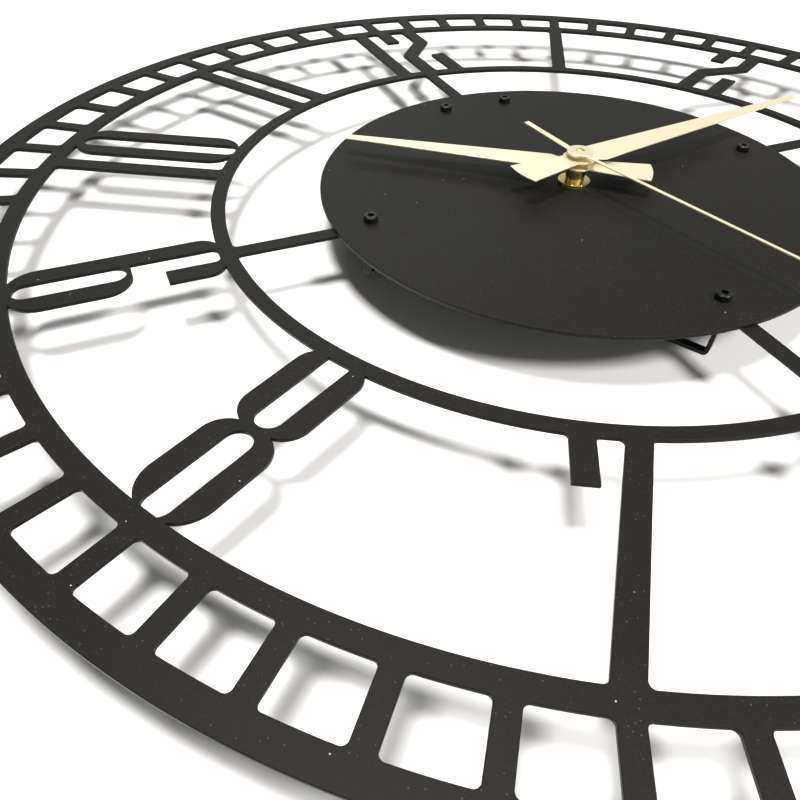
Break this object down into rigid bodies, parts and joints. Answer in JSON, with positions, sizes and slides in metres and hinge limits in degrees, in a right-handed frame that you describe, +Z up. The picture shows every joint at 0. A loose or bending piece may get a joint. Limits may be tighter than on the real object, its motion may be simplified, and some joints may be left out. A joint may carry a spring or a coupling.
{
  "type": "wall clock",
  "caption": "Large skeleton wall clock: laser-cut sheet-steel dial with stencil numerals, centre disc, three gold hands and a battery quartz movement behind it.",
  "frame": {"origin": "centre of the hanger's round keyhole opening, on the wall plane", "axes": "-Y faces the reader, +Y points into the wall, +Z is up towards 12 o'clock, +X is towards 3 o'clock; the hands' axis is parallel to Y, 85 mm below the origin"},
  "size_m": [0.4999, 0.0353, 0.5],
  "materials": {
    "powder_coat": "fine-textured matt black powder coat on laser-cut steel sheet",
    "black_screw": "black oxide socket screws, slightly glossy",
    "hand_gold": "pale champagne-gold satin sheet",
    "hand_hub_gold": "pale champagne-gold satin turned parts",
    "polished_brass": "polished turned brass",
    "gasket_rubber": "soft black rubber",
    "case_plastic": "black moulded plastic with a fine spark-eroded texture",
    "knob_plastic": "ivory moulded plastic",
    "gear_plastic": "natural acetal gears",
    "gear_brass": "machined brass",
    "bright_steel": "nickel-plated steel",
    "soft_iron": "annealed stamped magnetic iron",
    "magnet": "grey sintered magnet",
    "bobbin_plastic": "red moulded nylon",
    "copper_wire": "fine enamelled copper wire",
    "circuit_laminate": "green glass-epoxy board",
    "epoxy": "glossy black epoxy",
    "battery_wrap": null
  },
  "bodies": {
    "clock": {"skeleton_dial": "powder_coat", "centre_disc": "powder_coat", "disc_screws": "black_screw", "hanger_bracket": "powder_coat", "wall_bracket_right": "powder_coat", "wall_bracket_bottom": "powder_coat", "wall_bracket_left": "powder_coat", "rubber_gasket": "gasket_rubber", "threaded_bushing": "polished_brass", "dial_washer": "polished_brass", "round_nut": "polished_brass", "movement_case": "case_plastic", "movement_back_cover": "case_plastic", "inner_bearing_plate": "gear_brass", "back_bearing_plate": "gear_brass", "plate_pillars": "gear_brass", "plate_screws": "bright_steel", "motor_stator": "soft_iron", "coil_core": "soft_iron", "coil_bobbin": "bobbin_plastic", "coil_winding": "copper_wire", "circuit_board": "circuit_laminate", "quartz_crystal": "bright_steel", "clock_chip": "epoxy", "battery_contact_plus": "bright_steel", "battery_contact_minus": "bright_steel"},
    "hour_hand_assembly": {"hour_hand": "hand_gold", "hour_hand_collet": "polished_brass", "hour_wheel": "gear_plastic"},
    "minute_hand_assembly": {"minute_hand": "hand_gold", "minute_hand_collet": "polished_brass", "cannon_pinion": "gear_brass"},
    "second_hand_assembly": {"second_hand": "hand_gold", "second_hand_hub": "hand_hub_gold", "second_hand_cap": "polished_brass", "seconds_wheel": "gear_plastic"},
    "motion_work_wheel": {"minute_wheel": "gear_plastic"},
    "centre_wheel_with_clutch": {"centre_wheel": "gear_brass"},
    "third_wheel_and_pinion": {"third_wheel": "gear_plastic"},
    "fifth_wheel_and_pinion": {"fifth_wheel": "gear_plastic"},
    "motor_rotor": {"rotor_magnet": "magnet", "rotor_pinion": "gear_plastic"},
    "hand_setter": {"setting_knob": "knob_plastic"},
    "battery_cell": {"battery": "battery_wrap"}
  },
  "joints": [
    {"name": "minute_hand_turn", "type": "hinge", "parent": "clock", "child": "minute_hand_assembly", "pos_m": [0, -0.02, -0.085], "axis": [0, 1, 0], "continuous": true},
    {"name": "hour_hand_turn", "type": "hinge", "parent": "clock", "child": "hour_hand_assembly", "pos_m": [0, -0.02, -0.085], "axis": [0, 1, 0], "continuous": true},
    {"name": "second_hand_turn", "type": "hinge", "parent": "clock", "child": "second_hand_assembly", "pos_m": [0, -0.02, -0.085], "axis": [0, 1, 0], "continuous": true},
    {"name": "minute_wheel_turn", "type": "hinge", "parent": "clock", "child": "motion_work_wheel", "pos_m": [0, -0.02, -0.073], "axis": [0, 1, 0], "continuous": true},
    {"name": "setting_knob_turn", "type": "hinge", "parent": "clock", "child": "hand_setter", "pos_m": [0.006, -0.02, -0.06261], "axis": [0, 1, 0], "continuous": true},
    {"name": "third_wheel_turn", "type": "hinge", "parent": "clock", "child": "third_wheel_and_pinion", "pos_m": [0.01051, -0.02, -0.07941], "axis": [0, 1, 0], "continuous": true},
    {"name": "centre_wheel_turn", "type": "hinge", "parent": "clock", "child": "centre_wheel_with_clutch", "pos_m": [0, -0.02, -0.085], "axis": [0, 1, 0], "continuous": true},
    {"name": "fifth_wheel_turn", "type": "hinge", "parent": "clock", "child": "fifth_wheel_and_pinion", "pos_m": [-0.00693, -0.02, -0.081], "axis": [0, 1, 0], "continuous": true},
    {"name": "rotor_turn", "type": "hinge", "parent": "clock", "child": "motor_rotor", "pos_m": [-0.01482, -0.02, -0.07813], "axis": [0, 1, 0], "continuous": true},
    {"name": "battery_removal", "type": "slide", "parent": "clock", "child": "battery_cell", "axis": [0, 1, 0], "range_m": [0, 0.03]}
  ],
  "couplings": [
    {"joint": "minute_wheel_turn", "follows": "minute_hand_turn", "ratio": -0.33333},
    {"joint": "hour_hand_turn", "follows": "minute_hand_turn", "ratio": 0.083333},
    {"joint": "setting_knob_turn", "follows": "minute_hand_turn", "ratio": 1},
    {"joint": "third_wheel_turn", "follows": "second_hand_turn", "ratio": -0.13333},
    {"joint": "centre_wheel_turn", "follows": "second_hand_turn", "ratio": 0.016667},
    {"joint": "fifth_wheel_turn", "follows": "second_hand_turn", "ratio": -5},
    {"joint": "rotor_turn", "follows": "second_hand_turn", "ratio": 30}
  ]
}
